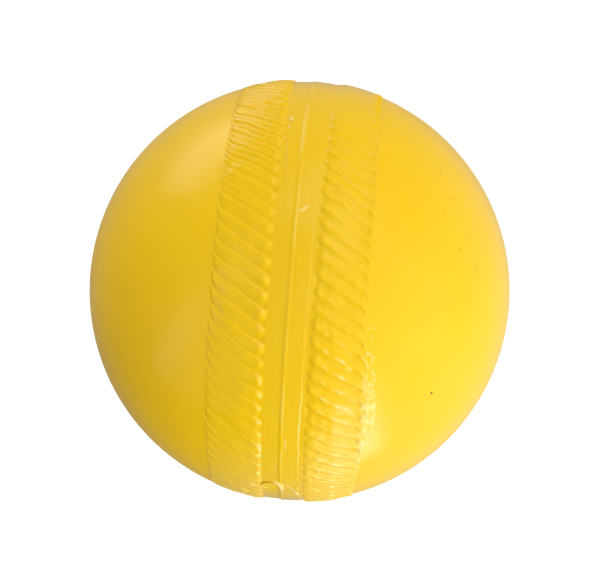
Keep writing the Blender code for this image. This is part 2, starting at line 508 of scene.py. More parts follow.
# %% [markdown]
# The left half shell
# Each half is a cup: a spherical cap, a seat for the stitch band, a strip of the channel, and inside it the
# tongue or the socket that centres the halves. A Boolean could cut the seat out of a sphere, but one
# profile gives the whole cup with clean edges.

# %% Left half shell
CHANNEL_RECESS = 0.18 * MM
BAND_INNER = {LEFT: 2.85 * MM, RIGHT: 3.4 * MM}
BAND_OUTER = 12.0 * MM
SEAT_RADIUS = BALL_RADIUS - 1.5 * MM
HOLLOW_RADIUS = BALL_RADIUS - 4.5 * MM
TONGUE_CLEARANCE = 0.3 * MM
TONGUE_LENGTH = 3.0 * MM
TONGUE_RADIUS = (HOLLOW_RADIUS + SEAT_RADIUS - TONGUE_CLEARANCE) / 2
PARTING_FACE = 0.12 * MM
CAP_STEPS = 90
HOLLOW_STEPS = 16
STRIP_STEPS = {LEFT: 12, RIGHT: 10}

quarter = BALL_RADIUS * math.pi / 2
cap_profile = [(BALL_RADIUS, 0)] + sweep(BALL_RADIUS, quarter, BAND_OUTER, CAP_STEPS)[1:]
cap_profile.append(on_ball(SEAT_RADIUS, BAND_OUTER))
left_strip_radius = BALL_RADIUS - CHANNEL_RECESS
left_profile = cap_profile + [on_ball(SEAT_RADIUS, BAND_INNER[LEFT])]
left_profile += sweep(left_strip_radius, BAND_INNER[LEFT], PARTING_FACE, STRIP_STEPS[LEFT])
left_profile += [(PARTING_FACE, TONGUE_RADIUS), (-TONGUE_LENGTH, TONGUE_RADIUS)]
left_profile += [(-TONGUE_LENGTH, HOLLOW_RADIUS)] + sweep(HOLLOW_RADIUS, 0, quarter, HOLLOW_STEPS)[:-1]
left_profile.append((HOLLOW_RADIUS, 0))
left_shell = turned("left_shell", left_profile, Vector((LEFT, 0, 0)), TURN_STEPS, False, left_finish)
stands_for(left_shell, "left_half_shell")

# %% [markdown]
# The right half shell
# The right strip stands a little higher than the left one, which shows as a step along the weld. A shallow
# gutter parts it from the stitches, and the strip ends there in a fine raised lip. The lip is a sum of two
# curves in the profile: a smooth fall into the gutter and a small bell on its edge.

# %% Right half shell
STRIP_RISE = 0.1 * MM
STRIP_EDGE = 2.75 * MM
GUTTER_DEPTH = 0.06 * MM
LIP_RISE = 0.008 * MM
LIP_WIDTH = 0.16 * MM
LIP_POINTS = 15
LIP_SPAN = (STRIP_EDGE + 2 * LIP_WIDTH, STRIP_EDGE - 2.2 * LIP_WIDTH)
GUTTER_FALL = (STRIP_EDGE - LIP_WIDTH / 2, STRIP_EDGE + LIP_WIDTH * 2)
STRIP_END = STRIP_EDGE - 3 * LIP_WIDTH
SOCKET_RADIUS = TONGUE_RADIUS + TONGUE_CLEARANCE
SOCKET_FLOOR = TONGUE_LENGTH + TONGUE_CLEARANCE

right_strip_radius = left_strip_radius + STRIP_RISE
right_profile = cap_profile + [on_ball(SEAT_RADIUS, BAND_INNER[RIGHT])]
right_profile.append(on_ball(right_strip_radius - GUTTER_DEPTH, BAND_INNER[RIGHT]))
for step in range(LIP_POINTS):
    edge = LIP_SPAN[0] + (LIP_SPAN[1] - LIP_SPAN[0]) * step / (LIP_POINTS - 1)
    lip = LIP_RISE * math.exp(-(((edge - STRIP_EDGE) / LIP_WIDTH) ** 2))
    height = lip - GUTTER_DEPTH * smooth_step(*GUTTER_FALL, edge)
    right_profile.append(on_ball(right_strip_radius + height, edge))
right_profile += sweep(right_strip_radius, STRIP_END, PARTING_FACE, STRIP_STEPS[RIGHT])
right_profile += [(PARTING_FACE, SOCKET_RADIUS), (SOCKET_FLOOR, SOCKET_RADIUS)]
hollow_start = BALL_RADIUS * math.asin(SOCKET_FLOOR / HOLLOW_RADIUS)
right_profile += sweep(HOLLOW_RADIUS, hollow_start, quarter, HOLLOW_STEPS)[:-1]
right_profile.append((HOLLOW_RADIUS, 0))
right_shell = turned("right_shell", right_profile, Vector((RIGHT, 0, 0)), TURN_STEPS, False, right_finish)
print(f"the right half's profile has {len(right_profile)} points")

# %% [markdown]
# The worn lip
# The mould's edge wore most at the front foot of the ball: there the lip wanders, rises and dips, and the
# gutter beside it is deeper. Noise read at each point moves the points near the lip, more of it low down.

# %% Uneven lip
LIP_REACH = 0.3 * MM
LIP_LEAST = 0.01
LIP_SKIN = 0.5 * MM
LIP_TURN = (0.3, 0.8)
LOW_GUTTER_DEPTH = 0.06 * MM
LOW_GUTTER_WIDTH = 1.5 * LIP_WIDTH
LIP_WANDER = 0.06 * MM
LOW_LIP_WANDER = 0.4 * MM
LIP_WANDER_SIZE = 2.0 * MM
LIP_UNEVEN = 0.01 * MM
LOW_LIP_UNEVEN = 0.06 * MM
LOW_LIP_RISE = 0.02 * MM
LIP_UNEVEN_SIZE = MM / 0.7

moved = 0
for vert in right_shell.data.vertices:
    near_lip = math.exp(-(((vert.co.x - STRIP_EDGE) / LIP_REACH) ** 2))
    if near_lip > LIP_LEAST and vert.co.yz.length > SEAT_RADIUS + LIP_SKIN:
        low = low_down(turn_of(vert.co), LIP_TURN)
        beside = smooth_step(STRIP_EDGE, STRIP_EDGE + LOW_GUTTER_WIDTH, vert.co.x)
        vert.co.yz *= 1 - LOW_GUTTER_DEPTH * low * beside * near_lip / BALL_RADIUS
        wander = LIP_WANDER + LOW_LIP_WANDER * low
        vert.co.x += wander * near_lip * noise.noise(vert.co / LIP_WANDER_SIZE)
        uneven = LIP_UNEVEN + LOW_LIP_UNEVEN * low
        rise = LOW_LIP_RISE * low + uneven * noise.noise(vert.co / LIP_UNEVEN_SIZE)
        vert.co.yz *= 1 + rise * near_lip / BALL_RADIUS
        moved += 1
print(f"{moved} points of the lip moved")
stands_for(right_shell, "right_half_shell")

# %% [markdown]
# How the stitches lean
# A band is one stitch repeated round the ball. The stitches lean: flatter at the channel, and steeper where
# they curl over at the band's outer edge. A polynomial in the distance from the seam gives the lean, in
# pitches, so the same stitch can be turned about the axis and still meet its neighbour.

# %% Stitch lean
STITCHES = 88
PITCH = math.tau / STITCHES
STITCH_PHASE = {LEFT: 0.059, RIGHT: 0.886}
STITCH_SLANT = 0.25 / MM
INNER_LEAN = 0.016 / MM**2
INNER_LEAN_EDGE = 6 * MM
OUTER_CURL = 0.3
CURL_LENGTH = 1.5 * MM


def stitch_lean(edge):
    """How many pitches a stitch has leaned at this distance from the seam."""
    flatten = INNER_LEAN * max(INNER_LEAN_EDGE - edge, 0) ** 2
    curl = max(edge - (BAND_OUTER - CURL_LENGTH), 0) / CURL_LENGTH
    return STITCH_SLANT * edge + flatten + OUTER_CURL * curl**2


print(f"{STITCHES} stitches, {PITCH * BALL_RADIUS / MM:.2f} mm apart")

# %% [markdown]
# Across one stitch
# The photograph shows broad, flat-topped fingers that meet in a fine crease in the middle of the band.
# Toward both ends they narrow to rounded tips, and the creases widen into wedge-shaped slots. A finger is
# skewed: one side falls gently from the crest, the other steeply, and on the right band the steep side is
# almost a straight wall in the slots. A formula for the height holds all of this, where sculpting would
# have to be done again for each change. Pairs of powers are for the tip and for the middle of a stitch.

# %% Stitch height
CREST = {LEFT: 0.18 * MM, RIGHT: 0.26 * MM}
PEAK = {LEFT: 0.76, RIGHT: 0.34}
CREASE_DEPTH = {LEFT: 0.07 * MM, RIGHT: 0.08 * MM}
INNER_SLOT = {LEFT: 0.22 * MM, RIGHT: 0.28 * MM}
OUTER_SLOT = {LEFT: 0.09 * MM, RIGHT: 0.28 * MM}
INNER_LEVEL = {LEFT: -CHANNEL_RECESS, RIGHT: STRIP_RISE - CHANNEL_RECESS - GUTTER_DEPTH}
OUTER_LEVEL = 0.0
INNER_TIP = 1.0 * MM
OUTER_TIP = {LEFT: 0.55 * MM, RIGHT: 0.45 * MM}
INNER_BOW = {LEFT: 0.8 * MM, RIGHT: 0.6 * MM}
OUTER_BOW = {LEFT: 0.5 * MM, RIGHT: 0.6 * MM}
TAPER = (0.7 * MM, 4.2 * MM)
GENTLE_POWER = {LEFT: (1.1, 1.6), RIGHT: (1.0, 1.5)}
STEEP_POWER = {LEFT: (1.3, 2.2), RIGHT: (1.1, 1.8)}
STRAIGHT_WALL = {LEFT: 0.0, RIGHT: 0.85}


def flank(across, side):
    """How far down a stitch's side a place is, 0 at the crest and 1 in the crease, and if it is steep."""
    peak = PEAK[side]
    below = (peak - across) / peak
    above = (across - peak) / (1 - peak)
    return max(below, above), (above if side == LEFT else below) > 0


def stitch_height(across, share, length, side):
    """Height above the ball, across one pitch (0 to 1) and along the stitch (0 at the channel to 1)."""
    aside, steep = flank(across, side)
    inner = share < 0.5
    level = INNER_LEVEL[side] if inner else OUTER_LEVEL
    from_tip = length * min(share, 1 - share)
    bow = INNER_BOW[side] if inner else OUTER_BOW[side]
    tip = smooth_step(0, INNER_TIP if inner else OUTER_TIP[side], from_tip - bow * aside**2)
    taper = smooth_step(*TAPER, from_tip)
    slot = INNER_SLOT[side] if inner else OUTER_SLOT[side]
    depth = slot + (CREASE_DEPTH[side] - slot) * taper
    tip_power, middle_power = STEEP_POWER[side] if steep else GENTLE_POWER[side]
    power = tip_power + (middle_power - tip_power) * taper
    groove = 0.5 - 0.5 * math.cos(math.pi * aside**power)
    if steep:
        groove += STRAIGHT_WALL[side] * (1 - taper) * (aside - groove)
    return level + (CREST[side] - level - depth * groove) * tip


print(f"crests {CREST[LEFT] / MM:.2f} mm high on the left and {CREST[RIGHT] / MM:.2f} mm on the right")

# %% [markdown]
# Painted golden shade in the slots
# Light that falls into a slot is reflected from wall to wall, and the plastic colours it each time, so the
# slots look deeper in colour. A few more light bounces can't show this in so small a groove, so the stitch
# carries a layer of its own that says where a slot is, and the finish paints that golden shade into the
# colour. A pair of widths is for the inner and outer ends.

# %% Slot colour layer
GOLD_WIDTH = {LEFT: (0.75, 0.4), RIGHT: (0.6, 0.75)}
GOLD_TAPER = (1.5 * MM, 4.4 * MM)
GOLD_HOLD = 0.5 * MM
LEAST_GOLD_WIDTH = 0.02
STEEP_GOLD = 0.4
STEEP_GOLD_FLANK = (0.25, 0.75)


def painted_slot_shade(across, share, length, side):
    """How much painted slot shade a place gets: slots are wide at the tips and end before the band's
    middle.
    """
    aside, steep = flank(across, side)
    from_tip = length * min(share, 1 - share)
    open_share = 1 - smooth_step(*GOLD_TAPER, from_tip)
    width = GOLD_WIDTH[side][0 if share < 0.5 else 1] * open_share
    slot_shade = 0
    if steep:
        slot_shade = STEEP_GOLD * open_share * smooth_step(*STEEP_GOLD_FLANK, aside)
    elif width > LEAST_GOLD_WIDTH:
        slot_shade = smooth_step(1 - width, 1 - width / 2, aside)
    return slot_shade * smooth_step(0, GOLD_HOLD, from_tip)


print(f"slots fade out {GOLD_TAPER[1] / MM} mm from the tips")

# %% [markdown]
# One stitch as a patch
# The stitch is modelled once, as a patch one pitch wide from crease to crease. Its columns crowd near the
# creases and its rows near the tips, where the shape turns fastest. A plain underside closes the ring. The
# layer "give" says where later noise may move a point: not at the edges, which meet the shells.

# %% Stitch patch
BAND_GAP = 0.02 * MM
EDGE_HOLD = 0.6 * MM
STITCH_COLUMNS = 18
STITCH_ROWS = 44
COLUMN_CROWDING = 0.06
ROW_CROWDING = 0.1


def crowded(step, steps, crowding):
    """A share from 0 to 1 whose steps are shorter near both ends."""
    return step / steps - crowding * math.sin(math.tau * step / steps)


def stitch_patch(name, side):
    """One pitch of the band: the stitched top, and a plain underside that closes the ring."""
    shape = bmesh.new()
    give = shape.verts.layers.float.new("give")
    slot_shade = shape.verts.layers.float.new("slot_shade")
    inner = BAND_INNER[side]
    length = BAND_OUTER - inner
    shares = [crowded(row, STITCH_ROWS, ROW_CROWDING) for row in range(STITCH_ROWS + 1)]
    rows = [(inner + length * share, share) for share in shares]
    grid = []
    for edge, share in rows + [(BAND_OUTER - BAND_GAP, None), (inner + BAND_GAP, None), rows[0]]:
        line = []
        for column in range(STITCH_COLUMNS + 1):
            across = crowded(column, STITCH_COLUMNS, COLUMN_CROWDING)
            radius = SEAT_RADIUS + BAND_GAP
            if share is not None:
                radius = BALL_RADIUS + stitch_height(across, share, length, side)
            along, radius = on_ball(radius, edge)
            turn = (across + STITCH_PHASE[side] - side * stitch_lean(edge)) * PITCH
            vert = shape.verts.new((side * along, -radius * math.cos(turn), radius * math.sin(turn)))
            if share is not None:
                vert[give] = smooth_step(0, EDGE_HOLD, min(edge - inner, BAND_OUTER - edge))
                vert[slot_shade] = painted_slot_shade(across, share, length, side)
            line.append(vert)
        grid.append(line)
    for line, next_line in zip(grid, grid[1:]):
        for column in range(STITCH_COLUMNS):
            corners = (line[column], line[column + 1], next_line[column + 1], next_line[column])
            shape.faces.new(corners if side == LEFT else corners[::-1])
    bmesh.ops.remove_doubles(shape, verts=shape.verts, dist=MERGE_DISTANCE)
    mesh = bpy.data.meshes.new(name)
    shape.to_mesh(mesh)
    shape.free()
    patch = bpy.data.objects.new(name, mesh)
    bpy.context.scene.collection.objects.link(patch)
    return patch


print(f"a stitch has {STITCH_COLUMNS} columns and {STITCH_ROWS} rows")

# %% [markdown]
# The ring of stitches
# Geometry Nodes turn copies of the patch about the seam's axis, join them into a closed ring and push the
# points with two noises, a slow one and a quick one, because the real mould was cut and worn by hand. The
# tree has named inputs for the count and for the size of the unevenness, so a rougher band is one number
# away.

# %% Stitch ring in Geometry Nodes
RING_MERGE = 2e-6
SLOW_SIZE = 5 * MM
QUICK_SIZE = 1.3 * MM
RING_CORNER_ANGLE = math.radians(60)
RING_INPUTS = (
    ("Stitch", "NodeSocketObject"),
    ("Count", "NodeSocketInt"),
    ("Slow Wander", "NodeSocketFloat"),
    ("Quick Wander", "NodeSocketFloat"),
    ("Finish", "NodeSocketMaterial"),
)


def pushed(tree, ring, size, reach):
    """Moves the points of the ring by noise with features of this size, where the band gives."""
    give = add_node(tree, "GeometryNodeInputNamedAttribute", {"data_type": "FLOAT"}, {"Name": "give"})
    wave = add_node(tree, "ShaderNodeTexNoise", None, {"Scale": 1 / size, "Detail": 1.0}, output="Color")
    inputs = {0: wave, 1: (0.5, 0.5, 0.5)}
    centred = add_node(tree, "ShaderNodeVectorMath", {"operation": "SUBTRACT"}, inputs)
    inputs = {0: centred, "Scale": reach * give}
    push = add_node(tree, "ShaderNodeVectorMath", {"operation": "SCALE"}, inputs)
    return add_node(tree, "GeometryNodeSetPosition", None, {"Geometry": ring, "Offset": push})


def ring_tree():
    """A tree that turns copies of a stitch about the X axis and joins them into one uneven ring."""
    tree = bpy.data.node_groups.new("ring of stitches", "GeometryNodeTree")
    for name, kind in RING_INPUTS:
        tree.interface.new_socket(name, in_out="INPUT", socket_type=kind)
    tree.interface.new_socket("Geometry", in_out="OUTPUT", socket_type="NodeSocketGeometry")
    group = tree.nodes.new("NodeGroupInput")
    given = {socket.name: Sock(tree, socket) for socket in group.outputs if socket.name}
    inputs = {"Object": given["Stitch"]}
    stitch = add_node(tree, "GeometryNodeObjectInfo", None, inputs, output="Geometry")
    points = add_node(tree, "GeometryNodePoints", None, {"Count": given["Count"]})
    index = add_node(tree, "GeometryNodeInputIndex")
    turn = index.math("DIVIDE", index * math.tau, given["Count"])
    spin = add_node(tree, "ShaderNodeCombineXYZ", None, {"X": turn})
    inputs = {"Points": points, "Instance": stitch, "Rotation": spin}
    copies = add_node(tree, "GeometryNodeInstanceOnPoints", None, inputs)
    ring = add_node(tree, "GeometryNodeRealizeInstances", None, {"Geometry": copies})
    inputs = {"Geometry": ring, "Distance": RING_MERGE}
    ring = add_node(tree, "GeometryNodeMergeByDistance", None, inputs)
    ring = pushed(tree, ring, SLOW_SIZE, given["Slow Wander"])
    ring = pushed(tree, ring, QUICK_SIZE, given["Quick Wander"])
    ring = add_node(tree, "GeometryNodeSetShadeSmooth", None, {"Geometry": ring})
    inputs = {"Geometry": ring, "Material": given["Finish"]}
    ring = add_node(tree, "GeometryNodeSetMaterial", None, inputs)
    result = tree.nodes.new("NodeGroupOutput")
    tree.links.new(ring.socket, result.inputs["Geometry"])
    return tree


def grown(name, tree, values):
    """Runs a tree on an empty mesh and returns the result as a plain mesh object."""
    host = bpy.data.objects.new(name, bpy.data.meshes.new(name))
    bpy.context.scene.collection.objects.link(host)
    modifier = host.modifiers.new("grow", "NODES")
    modifier.node_group = tree
    for socket in tree.interface.items_tree:
        if socket.in_out == "INPUT" and socket.name in values:
            modifier[socket.identifier] = values[socket.name]
    bpy.context.view_layer.update()
    evaluated = host.evaluated_get(bpy.context.evaluated_depsgraph_get())
    mesh = bpy.data.meshes.new_from_object(evaluated)
    host.modifiers.remove(modifier)
    host.data = mesh
    mesh.name = name
    mesh.set_sharp_from_angle(angle=RING_CORNER_ANGLE)
    return host


stitch_ring = ring_tree()
print(f"a tree of {len(stitch_ring.nodes)} nodes makes a ring of stitches")

# %% [markdown]
# The bands' finish
# The stitches are polished, and small waves in the polish make their reflections uneven. The right band is
# duller low down, where it is worn. Two layers of the mesh change the colour: one paints a golden shade
# into the slots, and the other paints glints and highlights in pale yellow on the nibs, the weld, the flash
# and the foot of the bands, with some real whitening where the flash tore. The weld and the plug share this
# finish.

# %% Polished finish
BAND_YELLOW = (0.885, 0.548, 0.003, 1)
BAND_YELLOW_SHARE = 0.7
PALE_AND_GLINT_YELLOW = (1.0, 0.82, 0.3, 1)
SLOT_SHADE_GOLD = (0.845, 0.53, 0.0005, 1)
POLISHED_MIRROR = 0.31
POLISH_UNEVEN = (4.0, 4.0)
WAVE_DETAIL = 3.0
DULL_HEIGHT = (14 * MM, 27 * MM)


def polished(name, wave_mm, wave_height_mm, dull=0.0):
    """A glossy finish with waves of this size and height, duller low down, with painted slot shade and
    painted glints.
    """
    material, tree, shader, place, colour = yellow_plastic(name)
    shader.inputs["Specular IOR Level"].default_value = POLISHED_MIRROR
    pale_and_painted_glint = add_node(tree, "ShaderNodeAttribute", {"attribute_name": "pale_and_painted_glint"}, output="Fac")
    slot_shade = add_node(tree, "ShaderNodeAttribute", {"attribute_name": "slot_shade"}, output="Fac")
    wave = noise_of(tree, place, wave_mm, WAVE_DETAIL)
    uneven = noise_of(tree, place, *POLISH_UNEVEN)
    upward = add_node(tree, "ShaderNodeSeparateXYZ", None, {0: place}, output="Z")
    dullness = ramp_of(tree, upward, *DULL_HEIGHT, dull, 0.0)
    roughness = POLISH + ROUGHNESS_SPREAD * (uneven - 0.5) + dullness
    colour = blend_of(tree, BAND_YELLOW_SHARE, colour, BAND_YELLOW)
    # Painted golden shade in the slots, then painted glints and highlights in pale yellow, over the
    # plastic's colour.
    colour = blend_of(tree, pale_and_painted_glint, blend_of(tree, slot_shade, colour, SLOT_SHADE_GOLD), PALE_AND_GLINT_YELLOW)
    dress(tree, shader, colour, roughness, wave * (wave_height_mm * MM))
    return material


band_finish = {
    LEFT: polished("left_band_finish", 0.9, 0.018),
    RIGHT: polished("right_band_finish", 0.7, 0.04, 0.2),
}
print(f"{len(band_finish)} band finishes")

# %% [markdown]
# Hand cutting and wear
# No two stitches of the real ball are alike. The left band's stitches step down like shingles, and at the
# top they break into close flat tiles. Low down both bands are rubbed flat and roughened. All of it is
# height that depends on the place along a stitch and on its lane, which counts stitches round the ball.
# Noise and a shingle curve over the lane give that, where a texture would only fake it.

# %% Carved height
SHINGLES = 2
SHINGLE_SLOPE = 0.38
SHINGLE_DROP = 0.12
SHINGLE_RISE = {LEFT: 0.22 * MM, RIGHT: 0.0}
SHINGLE_TURN = (1.4, 1.8, 2.6, 3.0)
STEP_RISE = {LEFT: 0.1 * MM, RIGHT: 0.0}
WAVER = 0.4
WAVERS_PER_STITCH = 0.7
WAVER_LENGTH = 4 * MM
WAVER_SEED = 3
STRAND_RISE = {LEFT: 0.07 * MM, RIGHT: 0.06 * MM}
STRANDS_PER_STITCH = 2.6
STRAND_LENGTH = 5 * MM
FINE_RISE = {LEFT: 0.03 * MM, RIGHT: 0.06 * MM}
FINE_TURN = (0.1, 0.5)
CHATTER_RISE = {LEFT: 0.14 * MM, RIGHT: 0.1 * MM}
CHATTER_TURN = (0.25, 0.6)
CHATTERS_PER_STITCH = 1.9
CHATTER_LENGTH = 0.8 * MM
CHATTER_LEAST = 0.1
CHATTER_SEED = 9
FLATTEN_TURN = {LEFT: (0.5, 1.25), RIGHT: (0.3, 0.75)}
FLATTEN_INNER = {LEFT: 0.0, RIGHT: 0.35}
FLATTEN_OUTER = {LEFT: 0.55, RIGHT: 0.35}
FLATTEN_EDGE = (5.5 * MM, 9.5 * MM)
BOTTOM_FLATTEN = {LEFT: 0.75, RIGHT: 0.0}
BOTTOM_TURN = (0.2, 0.55)
BACK_JOIN = 0.3


def shingle(place):
    """A flat tile, from -1 to 0, once per whole number: a slope up, the flat top and a drop."""
    share = place % 1
    return min(share / SHINGLE_SLOPE, (1 - share) / SHINGLE_DROP, 1) - 1


def carved(side, turn, edge, lane, height):
    """The height that hand cutting and wear add to a stitch of this height."""
    joined = smooth_step(0, BACK_JOIN, math.pi - abs(turn))
    strand = noise.noise((lane * STRANDS_PER_STITCH, edge / STRAND_LENGTH, side))
    waver = noise.noise((lane * WAVERS_PER_STITCH, edge / WAVER_LENGTH, WAVER_SEED))
    chatter = noise.noise((lane * CHATTERS_PER_STITCH, edge / CHATTER_LENGTH, CHATTER_SEED))
    tiles = shingle(SHINGLES * (lane - STITCH_PHASE[side]) + WAVER * joined * waver)
    low = low_down(turn, FLATTEN_TURN[side])
    top = within(turn, SHINGLE_TURN)
    outward = smooth_step(*FLATTEN_EDGE, edge)
    flatten = low * (FLATTEN_INNER[side] + (FLATTEN_OUTER[side] - FLATTEN_INNER[side]) * outward)
    flatten = max(flatten, BOTTOM_FLATTEN[side] * low_down(turn, BOTTOM_TURN))
    rise = STRAND_RISE[side] * joined * strand
    rise -= flatten * (height - CREST[side] / 2)
    rise += (FINE_RISE[side] * low_down(turn, FINE_TURN) + SHINGLE_RISE[side] * top) * tiles
    rise += CHATTER_RISE[side] * low_down(turn, CHATTER_TURN) * max(chatter - CHATTER_LEAST, 0)
    rise += STEP_RISE[side] * (1 - low) * (1 - top) * shingle(lane - STITCH_PHASE[side])
    return rise


print(f"{SHINGLES} tiles to a stitch at the top of the left band")

# %% [markdown]
# Nibs
# Where the plastic was drawn out of the mould, small nibs stand on the stitches. Each is whitened by a
# painted glint, where light would glint on its polish. Copies of a nib could be scattered, but they grow
# out of the stitch, so each is a small bell of height and of painted glint on the crest. Each row holds the
# distance from the seam and the height in mm, the strength of the painted glint, and the turns between
# which the nibs fade out.

# %% Nib height
NIB_WIDTH = {LEFT: 0.34 * MM, RIGHT: 0.24 * MM}
NIB_LENGTH = {LEFT: 0.42 * MM, RIGHT: 0.32 * MM}
NIB_SIZE = 0.6
NIB_WANDER_STEP = 0.61
NIB_WANDER_SEED = 0.5
NIB_SIZE_STEP = 0.83
NIB_SIZE_SEED = 7.1
NIBS = {
    LEFT: (
        (3.6, 0.05, 0.2, 0.9, 1.3),
        (4.6, 0.16, 0.9, 0.0, 0.1),
        (6.0, 0.16, 0.9, -0.05, 0.06),
    ),
    RIGHT: (
        (5.9, 0.1, 0.6, 0.8, 1.15),
        (7.8, 0.1, 0.75, 0.75, 0.95),
        (8.4, 0.14, 1.0, 0.8, 1.15),
        (9.2, 0.08, 0.75, 0.6, 0.8),
        (11.6, 0.12, 0.8, 0.8, 1.15),
    ),
}


def nib_share(side, edge, lane, middle_mm):
    """How much of a nib is here: each stitch has one near this distance, with its own place and size."""
    from_crest = lane - STITCH_PHASE[side] - PEAK[side]
    number = math.floor(from_crest + 0.5)
    across = (from_crest - number) * PITCH * BALL_RADIUS / NIB_WIDTH[side]
    wander = noise.noise((number * NIB_WANDER_STEP, middle_mm, NIB_WANDER_SEED))
    size = NIB_SIZE + noise.noise((number * NIB_SIZE_STEP, NIB_SIZE_SEED, middle_mm))
    along = (edge - middle_mm * MM) / NIB_LENGTH[side] - wander
    return max(size, 0) * math.exp(-(along**2) - across**2)


def nibs(side, turn, edge, lane):
    """The height and the painted glint that all rows of nibs give here."""
    rise = 0
    white = 0
    for middle_mm, rise_mm, painted_glint_strength, *fade in NIBS[side]:
        share = low_down(turn, fade) * nib_share(side, edge, lane, middle_mm)
        rise += rise_mm * MM * share
        # A painted glint: whitening where light would glint on the nib.
        white += painted_glint_strength * share
    return rise, white


print(f"{len(NIBS[LEFT])} rows of nibs on the left band and {len(NIBS[RIGHT])} on the right")

# %% [markdown]
# The worn patch and the torn edge
# At the top, the right band's stitches are worn to a smooth slope that starts at the channel. Low down its
# outer edge is torn. The patch is a level that the height is drawn to, and the tear is noise in two sizes.

# %% Right band's wear
WORN_TURN = (1.72, 2.05, 2.6, 2.9)
WORN_LEVEL = 0.2 * MM
WORN_SLOPE = 2.5 * MM
WORN_FROM = 4.6 * MM
WORN_WIDENING = 2.4 * MM
WORN_WIDENING_TURN = (1.9, 2.15)
WORN_FADE = 1.2 * MM
WORN_TO = (9.6 * MM, 11 * MM)
TORN_FROM = math.radians(8)
TORN_TO = math.radians(44)
TORN_TURN = (TORN_FROM, TORN_FROM + 0.15, TORN_TO - 0.2, TORN_TO)
TORN_EDGE = (BAND_OUTER - 1.2 * MM, BAND_OUTER - 0.4 * MM)
TORN_RISE = 0.3 * MM
# Whitening of the torn edge: partly torn plastic, partly painted glints of the light on it.
TORN_WHITE_AND_GLINT = 0.8
TORN_LEVEL = 0.35
TORN_SIZE = MM / 0.9
TORN_FINE_SIZE = MM / 2.2
TORN_FINE_SHARE = 0.5


def worn_flat(turn, edge):
    """How much of the right band's stitches is worn off here, and the level that is left."""
    start = WORN_FROM - WORN_WIDENING * smooth_step(*WORN_WIDENING_TURN, turn)
    worn = within(turn, WORN_TURN) * within(edge, (start, start + WORN_FADE, *WORN_TO))
    slope = smooth_step(BAND_INNER[RIGHT], BAND_INNER[RIGHT] + WORN_SLOPE, edge)
    return worn, INNER_LEVEL[RIGHT] + (WORN_LEVEL - INNER_LEVEL[RIGHT]) * slope


def torn(point, turn, edge):
    """How far the right band's outer edge is torn here."""
    here = smooth_step(*TORN_EDGE, edge) * within(turn, TORN_TURN)
    fine = TORN_FINE_SHARE * noise.noise(point / TORN_FINE_SIZE)
    return here * max(TORN_LEVEL + noise.noise(point / TORN_SIZE) + fine, 0)


print(f"the worn patch lies {WORN_LEVEL / MM} mm above the ball")

# %% [markdown]
# The stitch bands
# Each band is grown from its patch, and then every point of its top is moved out or in by the wear above.
# The same loop fills the layer of whitening, which holds painted glints on the nibs, a painted sheen along
# the foot of each band and the torn edge, and keeps the painted slot shade to the front, where the wear
# leaves the slots open. The edges hold still, so that band and shells still meet.

# %% Stitch bands
SLOW_WANDER = 0.5 * MM
QUICK_WANDER = {LEFT: 0.2 * MM, RIGHT: 0.3 * MM}
TOP_DEPTH = 0.3 * MM
GOLD_TURN = {LEFT: (0.45, 0.65, 1.1, 1.4), RIGHT: (0.3, 0.6, 1.35, 1.7)}
FOOT_PAINTED_SHEEN = {LEFT: 0.06, RIGHT: 0.1}

bands = {}
for side, word in ((LEFT, "left"), (RIGHT, "right")):
    patch = stitch_patch(f"{word}_stitch", side)
    wanders = {"Slow Wander": SLOW_WANDER, "Quick Wander": QUICK_WANDER[side]}
    values = {"Stitch": patch, "Count": STITCHES, "Finish": band_finish[side], **wanders}
    band = grown(f"{word}_band", stitch_ring, values)
    bpy.data.objects.remove(patch)
    pale_and_painted_glint = band.data.attributes.new("pale_and_painted_glint", "FLOAT", "POINT")
    slot_shade = band.data.attributes["slot_shade"]
    for vert in band.data.vertices:
        height = vert.co.length - BALL_RADIUS
        if height < -TOP_DEPTH:
            continue
        turn = turn_of(vert.co)
        edge = BALL_RADIUS * math.asin(abs(vert.co.x) / vert.co.length)
        lane = turn / PITCH + side * stitch_lean(edge)
        hold = smooth_step(0, EDGE_HOLD, min(edge - BAND_INNER[side], BAND_OUTER - edge))
        nib_rise, nib_painted_glint = nibs(side, turn, edge, lane)
        rise = hold * (carved(side, turn, edge, lane, height) + nib_rise)
        # Painted glints on the nibs, and a painted sheen that whitens the foot of each band.
        white = hold * nib_painted_glint + FOOT_PAINTED_SHEEN[side] * low_down(turn, FINE_TURN)
        if side == RIGHT:
            worn, level = worn_flat(turn, edge)
            tear = torn(vert.co, turn, edge)
            rise += worn * (level - height - rise) + TORN_RISE * tear
            # The torn edge is whitened, partly as torn plastic is and partly as painted glints.
            white += TORN_WHITE_AND_GLINT * tear
        slot_shade.data[vert.index].value *= within(turn, GOLD_TURN[side])
        pale_and_painted_glint.data[vert.index].value = min(white, 1)
        vert.co *= 1 + rise / BALL_RADIUS
    stands_for(band, f"{word}_stitch_band")
    bands[side] = band

# %% [markdown]
# The spread edge
# Low down, the right band's outer edge bulges over its cap. Band and cap are moved by the same function, so
# that they still meet: it slides points along the ball, most at the band's edge and less away from it.

# %% Spread edge
SPILL = 0.8 * MM
SPILL_TURN = (-0.2, 0.35, 0.55, 0.95)
SPILL_EDGE = (7 * MM, BAND_OUTER, BAND_OUTER, 18 * MM)


def spill(turn):
    """How far the right band's outer edge spreads over the cap at this turn."""
    return SPILL * within(turn, SPILL_TURN)


def spread(piece):
    """Slides the points of a right-hand piece along the ball."""
    for vert in piece.data.vertices:
        edge = BALL_RADIUS * math.atan2(vert.co.x, vert.co.yz.length)
        away = spill(turn_of(vert.co)) * within(edge, SPILL_EDGE)
        if away > 0:
            along, radius = on_ball(vert.co.length, edge + away)
            vert.co = Vector((along, *(vert.co.yz.normalized() * radius)))


spread(right_shell)
spread(bands[RIGHT])
print(f"the right band's edge spreads by up to {SPILL / MM} mm")
